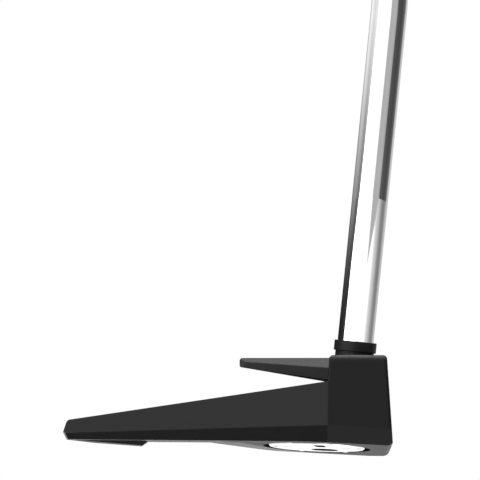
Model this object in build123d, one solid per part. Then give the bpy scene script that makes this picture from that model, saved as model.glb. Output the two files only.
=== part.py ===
from build123d import *
from math import sin, cos, tan, radians, pi
import os

# Mallet putter: a faceted head with two long rear wings and a centre alignment spar,
# two screw-in sole weights, a double-bend stepped steel shaft and a moulded grip.
#
# Units are millimetres. +X points at the target (out of the striking face), +Y runs from toe to
# heel, +Z is up. The origin is on the ground, on the flat of the sole under the leading edge.

os.makedirs("parts", exist_ok=True)

# ---------------------------------------------------------------- driving dimensions
# head
LOFT = 3.8                 # face loft, degrees
TOP_Z = 25.75              # height of the block's top deck
CORNER_X = -11.7           # widest station, where the block's side meets the wing
CREASE_Z = 7.90            # height of the widest line at that station
HALF_W = 50.2              # half of the heel-to-toe width at that station
TIP_X = -79.3              # rear tip of the wings
TIP_HALF_W = 41.0          # half width at the crease of the wing tip
WING_TOP_FRONT = 19.1      # wing top height at the corner
WING_TOP_REAR = 9.2        # wing top height at the tip
WING_FALL = 0.06           # fall of the wing top per mm towards the centre
UNDER_Z = 3.7              # underside of the wings at the outer edge
CAP_X = -5.0               # front end of the rear bodies, buried in the block

# rear face and rear top edge of the block
REAR_X, REAR_Z = -11.36, 19.74       # a point on the rear face
REAR_STEEPNESS = 17.8                # rise of the rear face per mm forward
EDGE_R = 0.7                         # radius the flats of the rear top edge touch
EDGE_HALF_TURN = 43.4                # half the angle between deck and rear face normals
EDGE_FLATS = (22.0, 43.0, 65.0)      # tilt of each flat from level, degrees

# sole
SOLE_FLAT_X = -0.8         # the ground flat ends here and the keel starts to rise
SOLE_RISE = 0.0433         # rise of the toe and heel sole facets per mm towards the rear
KEEL_RISE = 0.0535         # rise of the keel between them per mm towards the rear
CAMBER = 0.0805            # rise of the toe and heel sole facets per mm outwards
KEEL_HALF = 9.4            # half width of the keel between the two sole facets

# sole weights; depths are measured from the sole facet
WEIGHT_X, WEIGHT_Y = -14.4, 28.6     # weight centre, Y is mirrored for the toe
WEIGHT_R = 12.3            # disc radius
GROOVE_R = 13.75           # radius of the recess round the disc
FLANGE_T = 3.2             # disc thickness
GROOVE_T = 2.6             # depth of the wide recess
FLOOR_T = 3.45             # depth of the pocket floor the seal ring presses on
THREAD_PITCH = 1.0
BOSS_R = 6.94              # thread crest radius of the weight's boss, M14 x 1
BOSS_END = 8.05            # depth of the boss end
BUSH_R = 7.0               # bore of the threaded bush
BUSH_OD_R = 8.6
BUSH_L = 4.9
RING_R0, RING_R1, RING_D = 8.95, 10.25, 1.0   # seal ring groove in the back of the disc
DISC_TURN = 8.5            # turn of the disc when it is home, degrees
PIN_R, PIN_OFF = 0.75, 10.77         # spanner holes
TAB_W = 0.8                # width of the rim tabs, flush with the disc's face
TAB_HALF = 26.0            # angle of the rim tabs either side of the disc's local y axis
MARK_D = 0.30              # depth of the marks sunk in the disc
MARKS = [                  # x, y, width, height, corner radius
    (1.5, 4.7, 2.7, 5.4, 0.5),
    (1.15, -6.2, 6.9, 6.4, 2.9),
]

# face insert
INSERT_LEN, INSERT_H, INSERT_D = 76.0, 14.6, 3.2   # pocket
INSERT_CORNER = 4.2
INSERT_UP = 7.2            # insert centre, up the face from the face's reference point
BACK_T = 0.8               # backing thickness
FACE_GROOVES, FACE_GROOVE_PITCH = 9, 1.42
FACE_GROOVE_W, FACE_GROOVE_D = 0.62, 0.32
LIGHTENING = [(-18.0, 31.0), (27.4, 13.0)]         # centre Y, length

# alignment spar
SPAR_ROOT_X = -11.5        # station of the measured root section
SPAR_TIP_X = -34.15
SPAR_TOP = 25.2
SPAR_UNDER_Z = 19.05       # underside at the root
LINE_X, LINE_L, LINE_W, LINE_D = -31.6, 18.0, 1.3, 0.45   # sight line groove, X of its rear end
LINE_GAP = 0.02
DOWEL_R, DOWEL_L, DOWEL_Z = 1.25, 9.3, 22.3
DOWEL_MID_Y, DOWEL_HALF_PITCH = -2.0, 6.2
DOWEL_HOLE_L = 14
DOWEL_X0, DOWEL_X1 = -17.0, -7.4     # hole ends, in the spar and in the block

# shaft; lengths on the main shaft run up from where its line meets the ground
SHAFT_X, SHAFT_Y = -4.57, 14.0       # shaft centre on the top deck
SHAFT_LEAN = 5.83          # forward lean of the lower shaft, degrees
SHAFT_R = 4.70             # tip radius, 0.370 in
SHAFT_WALL = 0.62
LIE = 70.0                 # main shaft lie angle, degrees
BORE_R = 4.86              # hosel bore in the block
BORE_DEPTH = 18.0
SPIGOT_R, SPIGOT_BORE_R = 5.0, 5.06  # ferrule spigot and its counterbore
SPIGOT_DEPTH = 2.4         # depth of the counterbore
BEND1_Z, BEND2_Z = 55.0, 118.0
BEND1_R, BEND2_R = 62.0, 90.0
STEP_COUNT, STEP_START, STEP_PITCH = 13, 225.0, 29.0
STEP_RAMP = 1.3            # length over which the radius grows at each step
BUTT_L = 889.0             # club length along the main shaft line, 35 in
BUTT_R = 7.365             # butt radius, 0.580 in
SHAFT_TOP = BUTT_L - 5.0

# grip
GRIP_L = 267.0             # 10.5 in
GRIP_START = BUTT_L - GRIP_L
CAP_START = BUTT_L - 3.0   # lower face of the end cap
TAPE_T = 0.20
VENT_R = 1.6
STEM_R = 5.0               # stem of the end cap
GRIP_SECTIONS = [          # distance up the grip, half width, flat-side depth, back depth
    (0, 9.6, 9.2, 9.6),
    (30, 10.2, 9.5, 10.4),
    (90, 11.3, 10.0, 12.0),
    (150, 12.3, 10.6, 13.6),
    (205, 13.0, 11.0, 15.6),
    (245, 13.4, 11.4, 17.2),
    (GRIP_L - 5.0, 13.4, 11.6, 17.4),
]
CAP_SECTIONS = [           # distance up the main shaft, then the same columns
    (CAP_START, 13.2, 11.4, 17.2),
    (CAP_START + 0.8, 13.0, 11.2, 17.0),
    (BUTT_L - 0.8, 11.9, 10.1, 15.6),
    (BUTT_L, 9.9, 8.2, 13.2),
]

# ---------------------------------------------------------------- helpers
FORE, AFT = Vector(1, 0, 0), Vector(-1, 0, 0)
HEELWARD, TOEWARD = Vector(0, 1, 0), Vector(0, -1, 0)
UP, DOWN = Vector(0, 0, 1), Vector(0, 0, -1)


def one(shape):
    """The only solid of a shape."""
    solids = shape.solids()
    assert len(solids) == 1, f"expected one solid, got {len(solids)}"
    return solids[0]


def save(shape, name):
    export_step(shape, f"parts/{name}.step")


# A facet is a pair: a point on its plane and the plane's outward normal.
def unit(x, y, z):
    return Vector(x, y, z).normalized()


def facet(a, b, c, inside):
    """Facet through three points, its normal pointing away from inside."""
    origin = Vector(*a)
    normal = (Vector(*b) - origin).cross(Vector(*c) - origin).normalized()
    if (Vector(*inside) - origin).dot(normal) >= 0:
        normal = normal * -1
    return (a, normal)


def on_facet(plane, x, z):
    """Point on a facet's plane at a given x and z."""
    point, normal = Vector(*plane[0]), plane[1]
    return (x, point.Y - (normal.X * (x - point.X) + normal.Z * (z - point.Z)) / normal.Y, z)


def offset_facet(plane, distance):
    """The facet moved along its outward normal."""
    return (Vector(*plane[0]) + plane[1] * distance, plane[1])


def both_sides(*planes):
    """Each facet followed by its mirror image on the heel side."""
    pairs = []
    for point, normal in planes:
        mirrored = [Vector(v.X, -v.Y, v.Z) for v in (Vector(*point), normal)]
        pairs += [(point, normal), tuple(mirrored)]
    return pairs


def cut_back(solid, plane):
    """Keep the part of solid behind a facet."""
    cutter = Plane(origin=plane[0], z_dir=plane[1])
    return one(split(solid, bisect_by=cutter, keep=Keep.BOTTOM))


def convex(planes):
    """The solid behind every facet, cut from a box larger than the head."""
    body = Solid.make_box(140, 160, 70).moved(Location((-110, -80, -10)))
    for plane in planes:
        body = cut_back(body, plane)
    return body


def kept_if_valid(solid, treat):
    """The treated solid, or the solid unchanged where the kernel rejects the treatment."""
    try:
        treated = treat()
        if treated.is_valid and treated.volume > 0:
            return treated
    except Exception:
        pass
    return solid


def try_fillet(solid, edges, radius):
    if not edges:
        return solid
    return kept_if_valid(solid, lambda: solid.fillet(radius, edges))


def cylinder(radius, z0, z1, frame):
    return Solid.make_cylinder(radius, z1 - z0).moved(frame.location * Location((0, 0, z0)))


def revolved(profile):
    """Revolve a closed (radius, height) polygon about the z axis."""
    section = Face(Wire.make_polygon([Vector(r, 0, z) for r, z in profile], close=True))
    return Solid.revolve(section, 360, Axis((0, 0, 0), (0, 0, 1)))


def rounded_block(width, height, corner, z0, z1, x=0, y=0):
    """Block with rounded corners, centred on x, y."""
    section = RectangleRounded(width, height, corner).face()
    return Solid.extrude(section, Vector(0, 0, z1 - z0)).moved(Location((x, y, z0)))


# ---------------------------------------------------------------- facets of the head, toe side
IN_BLOCK = (-10.0, 0.0, 14.0)               # a point inside the block
SIDE_TOP = (CORNER_X + 0.15, -47.4, TOP_Z)
SIDE_CREASE = (CORNER_X, -HALF_W, CREASE_Z)
FACE_CREASE = (4.9, -47.8, 6.70)
SIDE_UNDER = (CORNER_X - 0.1, -47.2, UNDER_Z)
TIP_CREASE = (TIP_X + 1.1, -TIP_HALF_W, 5.87)

BLOCK_UPPER = facet(SIDE_TOP, SIDE_CREASE, FACE_CREASE, IN_BLOCK)   # block side above the crease
BLOCK_LOWER = facet(SIDE_CREASE, FACE_CREASE, SIDE_UNDER, IN_BLOCK)
WING_UPPER = facet(SIDE_TOP, SIDE_CREASE, TIP_CREASE, IN_BLOCK)     # wing side above the crease
WING_LOWER = facet(SIDE_CREASE, TIP_CREASE, SIDE_UNDER, IN_BLOCK)
SIDES = [BLOCK_UPPER, BLOCK_LOWER, WING_UPPER, WING_LOWER]

FACE = ((4.71, 0, 6.67), Vector(cos(radians(LOFT)), 0, sin(radians(LOFT))))
REAR = ((REAR_X, 0, REAR_Z), unit(-REAR_STEEPNESS, 0, 1.0))
TOP = ((0, 0, TOP_Z), UP)

# sole: level ground flat, rising keel, and a flat facet each side that holds a weight
GROUND_FLAT = ((0, 0, 0), DOWN)
KEEL = ((SOLE_FLAT_X, 0, 0), unit(-KEEL_RISE, 0, -1))
SOLE = ((SOLE_FLAT_X, -KEEL_HALF, 0), unit(-SOLE_RISE, -CAMBER, -1))
# nose of the sole under the leading edge
LEAD = ((4.40, 0, 1.45), Vector(cos(radians(17.1)), 0, -sin(radians(17.1))))
# rear ramp of the sole: one facet beside the keel and a steeper one beside the weight facet
RAMP_INNER = ((-32.9, -7.9, 2.275), unit(-0.092, -0.031, -1))
RAMP_OUTER = ((-28.85, -26.1, 2.56), unit(-0.0937, -0.045, -1))

# underside of the wings: a bevel under the outer edge, a nearly level part, a rise at the tip
UNDER_EDGE = facet(SIDE_UNDER, (-78.1, -39.3, 4.26), (-57.6, -33.0, 3.57), IN_BLOCK)
UNDER = ((-54.0, 0, 3.57), unit(-0.008, 0, -1))
UNDER_TIP = ((-73.8, 0, 3.63), unit(-0.121, 0, -1))

# wing top, falling to the rear and slightly towards the centre
top_front = on_facet(WING_UPPER, -11.62, WING_TOP_FRONT)
top_rear = on_facet(WING_UPPER, TIP_X + 1.0, WING_TOP_REAR)
top_inner = (top_front[0], top_front[1] + 10, top_front[2] - 10 * WING_FALL)
WING_TOP = facet(top_front, top_rear, top_inner, (-20, -40, 5))

# wing tip end, two facets, and the inner side of the wing
TIP_EDGE = (TIP_X, -31.2, 6.1)
TIP_UPPER = (TIP_EDGE, unit(-0.952, -0.05, 0.307))
TIP_LOWER = (TIP_EDGE, unit(-0.894, -0.05, -0.447))
WING_INNER = facet((-40, -34.2, 4), (-79.3, -31.2, 4), (-40, -35.4, 18), (-40, -40, 8))

# rear edge of the floor between the wings, a V open to the rear
NOTCH = facet((-27.0, 0, 0), (-45.0, -24.0, 0), (-27.6, 0, 8), (-20, -10, 5))

CAP = ((CAP_X, 0, 0), FORE)
MIDDLE = ((0, 0, 0), HEELWARD)


# ---------------------------------------------------------------- bodies of the head
def build_block():
    block = convex([FACE, REAR, TOP, GROUND_FLAT, KEEL, LEAD] + both_sides(*SIDES, SOLE))
    # toe and heel ends of the top deck, at the largest radius that takes
    for radius in (2.6, 2.2, 1.8):
        ends = [e for e in block.edges()
                if abs(e.center().Z - TOP_Z) < 0.02 and abs(e.center().Y) > 20]
        volume = block.volume
        block = try_fillet(block, ends, radius)
        if volume - block.volume > 0.5:
            break
    front = [e for e in block.edges()
             if abs(e.center().Z - TOP_Z) < 0.02 and abs(e.center().Y) < 1
             and e.length > 40 and e.center().X > -4]
    block = try_fillet(block, front, 1.1)
    # the rear edge of the top deck is broken by narrow flats touching one radius
    edge_x = REAR_X + (TOP_Z - REAR_Z) / REAR_STEEPNESS
    centre_x = edge_x + EDGE_R * tan(radians(EDGE_HALF_TURN))
    centre_z = TOP_Z - EDGE_R
    for tilt in EDGE_FLATS:
        normal = Vector(-sin(radians(tilt)), 0, cos(radians(tilt)))
        touch = (centre_x + EDGE_R * normal.X, 0, centre_z + EDGE_R * normal.Z)
        block = cut_back(block, (touch, normal))
    # leading edge, eased so the sole rolls up into the face
    lead = [e for e in block.edges()
            if e.center().X > 3.0 and e.center().Z < 3.0 and abs(e.tangent_at(0.5).Y) > 0.8]
    return try_fillet(block, lead, 1.7)


def build_blade():
    """Toe wing, from the block to the rear tip."""
    return convex(SIDES + [UNDER_EDGE, UNDER, UNDER_TIP, WING_TOP, TIP_UPPER, TIP_LOWER,
                           WING_INNER, CAP])


def build_root():
    """Boss behind the block that carries one weight's threaded bush."""
    top = ((-11.5, 0, 14.1), unit(-0.03, 0.03, 1))
    rear = ((-25.8, 0, 6), unit(-1, 0, 0.42))
    corner = ((-24.2, -19.4, 8), unit(-1, 1, 0.42))
    inner = ((0, -17.6, 6), unit(0.0, 1, 0.12))
    outer = ((0, -40, 0), TOEWARD)
    return convex([WING_UPPER, WING_LOWER, BLOCK_UPPER, BLOCK_LOWER, WING_TOP, top, rear, corner,
                   inner, CAP, outer, ((0, 0, 5.0), DOWN)])


def build_floor():
    """Low floor that ties the wings together behind the block, V-shaped at the rear."""
    outer = ((0, -38, 0), TOEWARD)
    top = ((-12, 0, 6.9), unit(-0.02, 0.0, 1))
    return convex([NOTCH, CAP, outer, MIDDLE, top, UNDER, UNDER_EDGE, WING_LOWER])


def build_belly():
    """Sole pod that stands down below the wings' underside and carries the weights."""
    rear = ((-50, 0, 0), AFT)
    top = ((0, 0, 5.2), UP)
    return convex([CAP, rear, MIDDLE, top] + SIDES
                  + [SOLE, RAMP_INNER, RAMP_OUTER, KEEL, GROUND_FLAT, NOTCH])


def build_foot():
    """Wedge foot under one wing tip."""
    inside, inside_outer, inside_inner = (-65, -36, 6), (-65, -34.5, 4), (-65, -36, 4)
    bottom = facet((-59.6, -33.3, 2.47), (-78.3, -33.0, 3.91), (-59.6, -36.6, 2.79), inside)
    front = facet((-59.5, -36, 2.47), (-57.9, -36, 3.57), (-59.5, -34, 2.47), inside)
    outer = facet((-78.3, -37.3, 4.0), (-57.0, -36.4, 4.0), (-78.3, -37.6, 7.0), inside_outer)
    inner = facet((-78.3, -32.4, 4.0), (-57.0, -33.4, 4.0), (-78.3, -32.2, 7.0), inside_inner)
    return convex([bottom, front, outer, inner, ((0, 0, 5.0), UP), TIP_LOWER, UNDER_TIP,
                   ((TIP_X + 1.2, 0, 0), AFT)])


def build_wing_channel():
    """Channel milled into the inner side of one wing."""
    bottom = ((0, 0, 7.3), DOWN)
    front = ((-30.0, -36, 0), unit(1, -0.5, 0))
    rear = ((-61.0, -36, 0), unit(-1, -0.5, 0))
    return convex([offset_facet(WING_UPPER, -3.8), offset_facet(WING_LOWER, -3.8),
                   offset_facet(WING_TOP, -2.2), bottom, offset_facet(WING_INNER, 0.4),
                   front, rear])


def build_recess(front_x, y0, y1, top, bottom_z):
    """Recess cut into the rear of the block, its long edges rounded."""
    recess = convex([((front_x, 0, 0), FORE), ((0, y0, 0), TOEWARD), ((0, y1, 0), HEELWARD),
                     top, ((0, 0, bottom_z), DOWN)])
    return try_fillet(recess, [e for e in recess.edges() if abs(e.tangent_at(0.5).X) > 0.9], 1.6)


# ---------------------------------------------------------------- frames on the head
lean_dir = Vector(sin(radians(SHAFT_LEAN)), 0, cos(radians(SHAFT_LEAN)))
deck_point = Vector(SHAFT_X, SHAFT_Y, TOP_Z)
shaft_frame = Plane(origin=deck_point, x_dir=(0, 1, 0), z_dir=lean_dir)

# local x runs to the heel, local y up the face, z out of it
face_frame = Plane(origin=FACE[0], x_dir=(0, 1, 0), z_dir=FACE[1])
insert_frame = Plane(origin=Vector(*FACE[0]) + face_frame.y_dir * INSERT_UP,
                     x_dir=(0, 1, 0), z_dir=FACE[1])


def weight_frame(side):
    """Frame on a sole facet, side -1 toe, +1 heel; z points out of the sole."""
    z = CAMBER * (WEIGHT_Y - KEEL_HALF) + SOLE_RISE * (SOLE_FLAT_X - WEIGHT_X)
    normal = Vector(SOLE[1].X, -side * SOLE[1].Y, SOLE[1].Z)
    x_dir = (FORE - normal * FORE.dot(normal)).normalized()
    return Plane(origin=(WEIGHT_X, side * WEIGHT_Y, z), x_dir=x_dir, z_dir=normal)


def insert_block(inset, z0, z1):
    """Outline of the insert pocket drawn in by inset, between two heights off the face."""
    block = rounded_block(INSERT_LEN - 2 * inset, INSERT_H - 2 * inset, INSERT_CORNER - inset,
                          z0, z1)
    return block.moved(insert_frame.location)


def dowel_cylinder(radius, length, front_x, side):
    """Cylinder running rearwards from front_x on a dowel's axis."""
    y = side * DOWEL_HALF_PITCH + DOWEL_MID_Y
    return Solid.make_cylinder(radius, length).moved(
        Location((front_x, y, DOWEL_Z), (0, -90, 0)))


# ---------------------------------------------------------------- head body
def build_head():
    half = build_blade().fuse(build_root(), build_floor(), build_belly(), build_foot())
    half = one(half.cut(build_wing_channel()).clean())
    head = half.fuse(half.mirror(Plane.XZ), build_block())
    head = one(head.clean())

    # cavity back: a recess over each weight boss and one under the alignment spar
    sloping_top = ((0, 0, 22.2), unit(0.25, 0, 1))
    head = one(head.cut(build_recess(-7.4, -33.8, -20.6, sloping_top, 14.15)))
    head = one(head.cut(build_recess(-7.4, 20.6, 33.8, sloping_top, 14.15)))
    head = one(head.cut(build_recess(-7.0, -8.0, 8.0, ((0, 0, 18.2), UP), 7.2)))

    # blind hosel bore and the counterbore for the ferrule spigot
    head = one(head.cut(cylinder(BORE_R, -BORE_DEPTH, 8, shaft_frame),
                        cylinder(SPIGOT_BORE_R, -SPIGOT_DEPTH, 8, shaft_frame)))

    # face insert pocket, and lightening pockets behind it either side of the shaft bore
    head = one(head.cut(insert_block(0, -INSERT_D, 5)))
    for centre_y, length in LIGHTENING:
        pocket = rounded_block(length, 9.4, 2.5, -8.0, -2.8, x=centre_y)
        head = one(head.cut(pocket.moved(insert_frame.location)))

    # sole weight pockets
    bush_end = FLOOR_T + BUSH_L
    for side in (-1, 1):
        frame = weight_frame(side)
        head = one(head.cut(cylinder(GROOVE_R, -GROOVE_T, 6, frame),
                            cylinder(WEIGHT_R + 0.06, -FLOOR_T, 6, frame),
                            cylinder(BUSH_OD_R + 0.02, -(bush_end + 0.05), 0, frame),
                            cylinder(BUSH_R + 0.4, -(bush_end + 0.6), 0, frame)))

    for side in (-1, 1):
        head = one(head.cut(dowel_cylinder(DOWEL_R + 0.02, DOWEL_HOLE_L, DOWEL_X1, side)))
    return head


save(build_head(), "head_body")


# ---------------------------------------------------------------- alignment spar
IN_SPAR = (-20, 0, 24)


def spar_side(side):
    """Upper and lower side facets, and a narrow bevel that fades out towards the tip."""
    crease_root = (SPAR_ROOT_X, side * 12.2, 22.65)
    crease_tip = (-32.8, side * 4.6, 24.2)
    top_root = (SPAR_ROOT_X, side * 8.6, SPAR_TOP)
    lower_root = (SPAR_ROOT_X, side * 11.2, 19.1)
    upper = facet(crease_root, crease_tip, top_root, IN_SPAR)
    lower = facet(crease_root, crease_tip, lower_root, IN_SPAR)
    bevel = facet(on_facet(lower, SPAR_ROOT_X, 19.55), on_facet(lower, -33.2, 22.74),
                  (SPAR_ROOT_X, side * 10.3, SPAR_UNDER_Z), IN_SPAR)
    return [upper, lower, bevel]


def build_spar():
    underside = facet((SPAR_ROOT_X, 0, SPAR_UNDER_Z), (-33.0, 0, 22.68),
                      (SPAR_ROOT_X, 5, SPAR_UNDER_Z), IN_SPAR)
    root_end = ((REAR_X - 0.02, 0, REAR_Z), REAR[1] * -1)
    spar = convex(spar_side(-1) + spar_side(1) + [
        underside,
        ((0, 0, SPAR_TOP), UP),
        root_end,
        ((SPAR_TIP_X, 0, 23.4), AFT),
        ((SPAR_TIP_X, 0, 24.7), unit(-1, 0, 1.0)),
        ((SPAR_TIP_X, 0, 23.15), unit(-1, 0, -1.0)),
        ((-32.75, -4.62, 24.2), Vector(-0.8, -0.6, 0)),
        ((-32.75, 4.62, 24.2), Vector(-0.8, 0.6, 0)),
    ])
    groove = Solid.make_box(LINE_L, LINE_W, 2)
    spar = one(spar.cut(groove.moved(Location((LINE_X, -LINE_W / 2, SPAR_TOP - LINE_D)))))
    for side in (-1, 1):
        hole = dowel_cylinder(DOWEL_R + 0.02, DOWEL_HOLE_L, DOWEL_X0 + DOWEL_HOLE_L, side)
        spar = one(spar.cut(hole))
    top_edges = [e for e in spar.edges() if abs(e.center().Z - SPAR_TOP) < 0.01
                 and e.length > 15 and abs(e.center().Y) > 3]
    return try_fillet(spar, top_edges, 0.35)


def build_sight_line():
    """Filling of the groove in the spar's top."""
    line = Solid.make_box(LINE_L - 2 * LINE_GAP, LINE_W - 2 * LINE_GAP, LINE_D)
    return line.moved(Location((LINE_X + LINE_GAP, -LINE_W / 2 + LINE_GAP, SPAR_TOP - LINE_D)))


def build_dowel(side):
    dowel = dowel_cylinder(DOWEL_R, DOWEL_L, DOWEL_X1 - 0.1, side)
    rims = list(dowel.edges().filter_by(GeomType.CIRCLE))
    return kept_if_valid(dowel, lambda: dowel.chamfer(0.2, None, rims))


save(build_spar(), "alignment_spar")
save(build_sight_line(), "sight_line")
save(Compound(children=[build_dowel(side) for side in (-1, 1)]), "spar_dowels")


# ---------------------------------------------------------------- face insert
def build_insert():
    insert = insert_block(0.05, -INSERT_D + BACK_T + 0.01, 0.0)
    grooves = []
    for i in range(FACE_GROOVES):
        y = (i - (FACE_GROOVES - 1) / 2) * FACE_GROOVE_PITCH
        # the lowest and highest grooves are shorter, to clear the rounded corners
        shortening = 1.4 if i in (0, FACE_GROOVES - 1) else 0
        half_len = INSERT_LEN / 2 - 3.4 - shortening
        groove = Solid.make_box(2 * half_len, FACE_GROOVE_W, 1).moved(
            Location((-half_len, y - FACE_GROOVE_W / 2, -FACE_GROOVE_D)))
        grooves.append(groove.moved(insert_frame.location))
    return one(insert.cut(*grooves))


save(build_insert(), "face_insert")
save(insert_block(0.2, -INSERT_D, -INSERT_D + BACK_T), "insert_backing")


# ---------------------------------------------------------------- sole weights
# These are built with z = 0 on the disc's outer face and negative z going into the head.
def build_mark(mark, z1):
    x, y, width, height, corner = mark
    return rounded_block(width, height, corner, -MARK_D, z1, x, y)


def build_disc():
    """Weight: flange with a seal ring groove, and a boss with ring-shaped thread ridges."""
    bevel = 0.3
    groove_in, groove_out = RING_R0 - 0.02, RING_R1 + 0.02
    groove_z = -FLANGE_T + RING_D
    neck_r = BOSS_R - 0.6
    z = -FLOOR_T - 0.25
    profile = [(0, 0), (WEIGHT_R - bevel, 0), (WEIGHT_R, -bevel),
               (WEIGHT_R, -FLANGE_T + bevel), (WEIGHT_R - bevel, -FLANGE_T),
               (groove_out, -FLANGE_T), (groove_out, groove_z),
               (groove_in, groove_z), (groove_in, -FLANGE_T),
               (neck_r, -FLANGE_T), (neck_r, z)]
    while z - THREAD_PITCH > -BOSS_END + 0.3:
        profile += [(BOSS_R - 0.06, z - 0.30), (BOSS_R, z - 0.38),
                    (BOSS_R, z - 0.50), (BOSS_R - 0.06, z - 0.58),
                    (BOSS_R - 0.55, z - 0.90), (BOSS_R - 0.55, z - THREAD_PITCH)]
        z -= THREAD_PITCH
    profile += [(neck_r, -BOSS_END + 0.2), (BOSS_R - 0.8, -BOSS_END), (3.0, -BOSS_END),
                (2.6, -BOSS_END + 0.5), (0, -BOSS_END + 0.5)]
    disc = revolved(profile)

    tab = Solid.make_box(1.82, TAB_W, 1.4).moved(Location((WEIGHT_R - 0.5, -TAB_W / 2, -1.4)))
    tabs = [tab.rotate(Axis.Z, middle + turn)
            for middle in (90, 270) for turn in (-TAB_HALF, TAB_HALF)]
    disc = one(disc.fuse(*tabs).clean())
    for side in (-1, 1):
        pin_hole = Solid.make_cylinder(PIN_R, 3).moved(Location((side * PIN_OFF, 0, -1.8)))
        disc = one(disc.cut(pin_hole))
    return one(disc.cut(*[build_mark(mark, 1) for mark in MARKS]))


def build_seal_ring():
    bevel = 0.4
    z_top, z_floor = -FLANGE_T + RING_D - 0.02, -FLOOR_T + 0.01
    return revolved([
        (RING_R0 + bevel, z_top), (RING_R1 - bevel, z_top), (RING_R1, z_top - bevel),
        (RING_R1, z_floor + bevel), (RING_R1 - bevel, z_floor), (RING_R0 + bevel, z_floor),
        (RING_R0, z_floor + bevel), (RING_R0, z_top - bevel)])


def build_bush():
    """Bush with a groove round its outside and a plain bore."""
    bevel, bore_bevel, groove_d = 0.25, 0.4, 0.4
    z = -FLOOR_T - 0.02
    z_end = z - BUSH_L
    return revolved([
        (BUSH_R + bore_bevel, z), (BUSH_OD_R - bevel, z), (BUSH_OD_R, z - bevel),
        (BUSH_OD_R, z - 1.9), (BUSH_OD_R - groove_d, z - 2.2),
        (BUSH_OD_R - groove_d, z - 2.7), (BUSH_OD_R, z - 3.0),
        (BUSH_OD_R, z_end + bevel), (BUSH_OD_R - bevel, z_end), (BUSH_R + bore_bevel, z_end),
        (BUSH_R, z_end + bore_bevel), (BUSH_R, z - bore_bevel)])


# The heel disc gets about half a turn more, so the smaller mark is outboard on both sides.
for side, name, turn in ((-1, "toe", DISC_TURN), (1, "heel", 180 - DISC_TURN)):
    place = weight_frame(side).location
    save(build_disc().rotate(Axis.Z, turn).moved(place), f"{name}_weight")
    fillings = [build_mark(mark, -0.02).rotate(Axis.Z, turn).moved(place) for mark in MARKS]
    save(Compound(children=fillings), f"{name}_weight_marks")
    save(build_seal_ring().moved(place), f"{name}_seal_ring")
    save(build_bush().moved(place), f"{name}_thread_bush")

# ---------------------------------------------------------------- ferrule
FERRULE_BORE_R = SHAFT_R + 0.03
spigot_z = -SPIGOT_DEPTH + 0.05
ferrule = revolved([
    (FERRULE_BORE_R, spigot_z), (SPIGOT_R, spigot_z), (SPIGOT_R, 1.12), (5.37, 1.12),
    (5.47, 1.24), (5.47, 3.65), (5.35, 3.79), (FERRULE_BORE_R, 3.79)])
save(ferrule.moved(shaft_frame.location), "ferrule")


# ---------------------------------------------------------------- shaft centre line
def at_height(point, direction, z):
    """Where the line through point reaches height z."""
    return point + direction * ((z - point.Z) / direction.Z)


def bend_arc(corner, dir_in, dir_out, radius):
    """Start, middle and end of the arc that rounds a corner."""
    half_angle = radians(dir_in.get_angle(dir_out)) / 2
    tangent = radius * tan(half_angle)
    inward = (dir_out - dir_in).normalized()
    middle = corner + inward * (radius / cos(half_angle) - radius)
    return corner - dir_in * tangent, middle, corner + dir_out * tangent


lie_tilt = radians(90 - LIE)
middle_dir = Vector(tan(radians(SHAFT_LEAN)), tan(lie_tilt), 1).normalized()
main_dir = Vector(0, sin(lie_tilt), cos(lie_tilt))

shaft_tip = deck_point - lean_dir * (BORE_DEPTH - 0.6)
bend1 = at_height(deck_point, lean_dir, BEND1_Z)
bend2 = at_height(bend1, middle_dir, BEND2_Z)
arc1 = bend_arc(bend1, lean_dir, middle_dir, BEND1_R)
arc2 = bend_arc(bend2, middle_dir, main_dir, BEND2_R)
lower_top = arc2[2] + main_dir * 25.0

ground_point = at_height(arc2[2], main_dir, 0.0)
# local x points at the target, local y towards the heel and down
main_frame = Plane(origin=ground_point, x_dir=(1, 0, 0), z_dir=main_dir)


# ---------------------------------------------------------------- shaft
def build_lower_shaft():
    """Bent tube from the tip to the start of the main shaft."""
    path = Wire([Edge.make_line(shaft_tip, arc1[0]), Edge.make_three_point_arc(*arc1),
                 Edge.make_line(arc1[2], arc2[0]), Edge.make_three_point_arc(*arc2),
                 Edge.make_line(arc2[2], lower_top)])
    start = Plane(origin=shaft_tip, z_dir=lean_dir)
    outer, inner = [one(sweep(Face(Wire.make_circle(radius, start)), path=path))
                    for radius in (SHAFT_R, SHAFT_R - SHAFT_WALL)]
    return one(outer.cut(inner))


def build_upper_shaft():
    """Straight tube that steps up to the butt radius; its wall thins by 0.14 on the way."""
    outer = [(SHAFT_R, (lower_top - ground_point).length)]
    radius = SHAFT_R
    growth = (BUTT_R - SHAFT_R) / STEP_COUNT
    for i in range(STEP_COUNT):
        z = STEP_START + i * STEP_PITCH
        outer += [(radius, z), (radius + growth, z + STEP_RAMP)]
        radius += growth
    outer += [(BUTT_R, SHAFT_TOP)]
    inner = [(r - SHAFT_WALL + 0.14 * (r - SHAFT_R) / (BUTT_R - SHAFT_R), z) for r, z in outer]
    return revolved(outer + inner[::-1]).moved(main_frame.location)


save(one(build_lower_shaft().fuse(build_upper_shaft()).clean()), "shaft")

# bond between the shaft and the hosel bore
bond_in, bond_out = SHAFT_R + 0.01, BORE_R - 0.01
bond_bottom, bond_top = -BORE_DEPTH + 0.02, -SPIGOT_DEPTH - 0.05
bond = revolved([(bond_in, bond_bottom), (bond_out, bond_bottom),
                 (bond_out, bond_top), (bond_in, bond_top)])
save(bond.moved(shaft_frame.location), "shaft_bond")

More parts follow.
